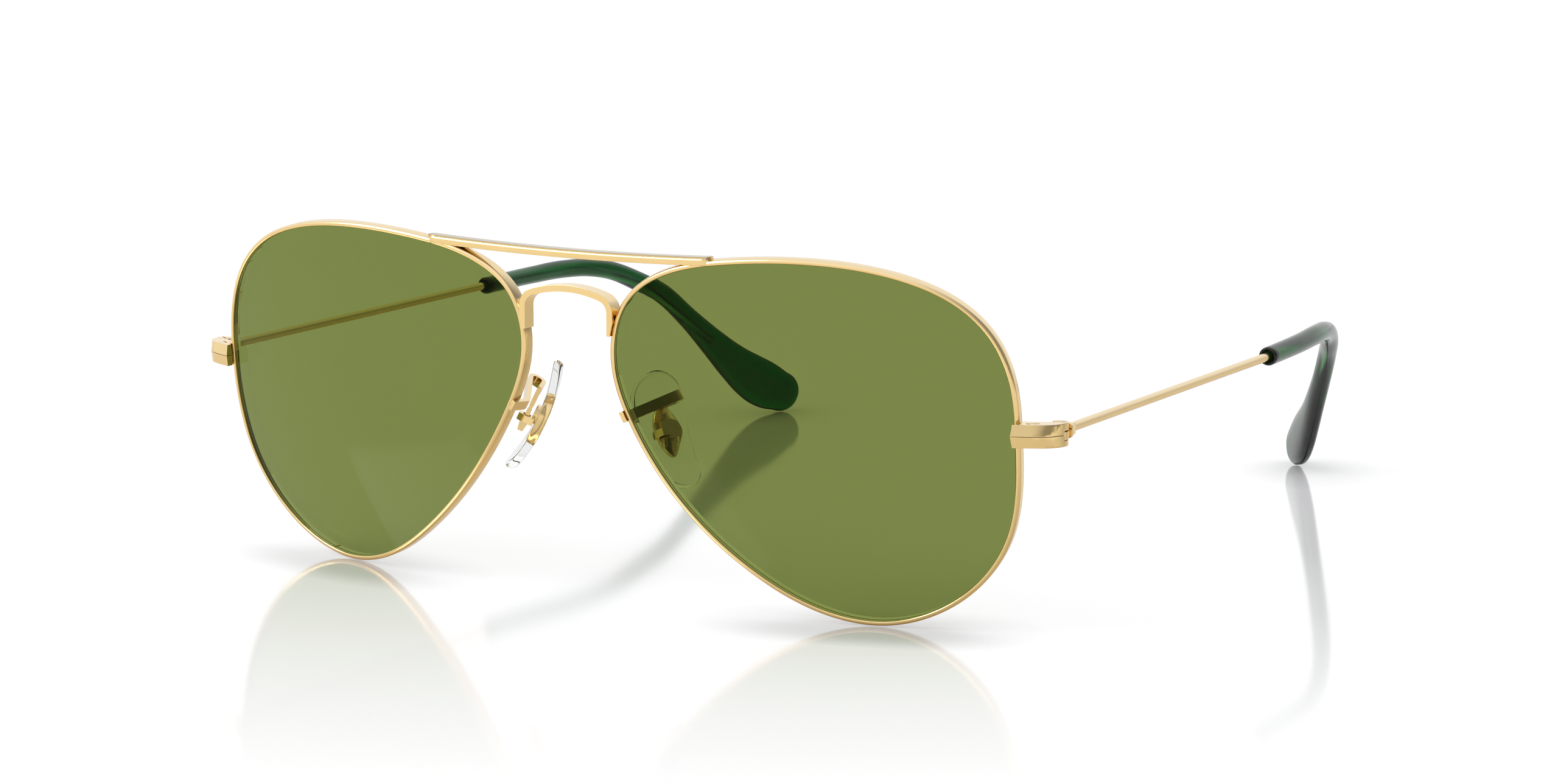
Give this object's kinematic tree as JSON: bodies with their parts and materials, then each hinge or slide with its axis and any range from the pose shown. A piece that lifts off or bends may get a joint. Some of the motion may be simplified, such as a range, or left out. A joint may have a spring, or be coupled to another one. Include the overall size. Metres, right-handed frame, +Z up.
{
  "type": "aviator sunglasses",
  "caption": "Aviator sunglasses with wire rims, green lenses, a brow bar, a saddle bridge, nose pads on arms and folding wire temples with curved tips.",
  "frame": {"origin": "centre of the bounding box's footprint, on the surface the glasses stand on", "axes": "+Z up, -Y the way the lenses face, +X towards the wearer's left; stored with both temples open"},
  "size_m": [0.1412, 0.1494, 0.0512],
  "materials": {
    "champagne_gold": "polished",
    "gold_screws": "polished",
    "green_lens": "transparent olive green, gloss",
    "green_acetate": "translucent dark green, gloss",
    "clear_silicone": "clear, gloss"
  },
  "bodies": {
    "front": {"top_bar": "champagne_gold", "bridge": "champagne_gold", "left_rim": "champagne_gold", "left_lens": "green_lens", "left_end_piece_upper": "champagne_gold", "left_end_piece_lower": "champagne_gold", "left_rim_screw": "gold_screws", "left_hinge_screw": "gold_screws", "left_pad_arm": "champagne_gold", "right_rim": "champagne_gold", "right_lens": "green_lens", "right_end_piece_upper": "champagne_gold", "right_end_piece_lower": "champagne_gold", "right_rim_screw": "gold_screws", "right_hinge_screw": "gold_screws", "right_pad_arm": "champagne_gold"},
    "left_temple": {"left_temple_hinge": "champagne_gold", "left_temple_wire": "champagne_gold", "left_temple_tip": "green_acetate"},
    "right_temple": {"right_temple_hinge": "champagne_gold", "right_temple_wire": "champagne_gold", "right_temple_tip": "green_acetate"},
    "left_pad": {"left_pad_mount": "champagne_gold", "left_nose_pad": "clear_silicone"},
    "right_pad": {"right_pad_mount": "champagne_gold", "right_nose_pad": "clear_silicone"}
  },
  "joints": [
    {"name": "left_temple_hinge", "type": "hinge", "parent": "front", "child": "left_temple", "pos_m": [0.06905, -0.06017, 0.02851], "axis": [0, 0, 1], "range_deg": [0, 79]},
    {"name": "right_temple_hinge", "type": "hinge", "parent": "front", "child": "right_temple", "pos_m": [-0.06905, -0.06017, 0.02851], "axis": [0, 0, -1], "range_deg": [0, 62]},
    {"name": "left_pad_rock", "type": "hinge", "parent": "front", "child": "left_pad", "pos_m": [0.01146, -0.0668, 0.02432], "axis": [0.4783, 0.8775, 0.0335], "range_deg": [-8, 5]},
    {"name": "right_pad_rock", "type": "hinge", "parent": "front", "child": "right_pad", "pos_m": [-0.01146, -0.0668, 0.02432], "axis": [0.4783, -0.8775, -0.0335], "range_deg": [-8, 5]}
  ]
}
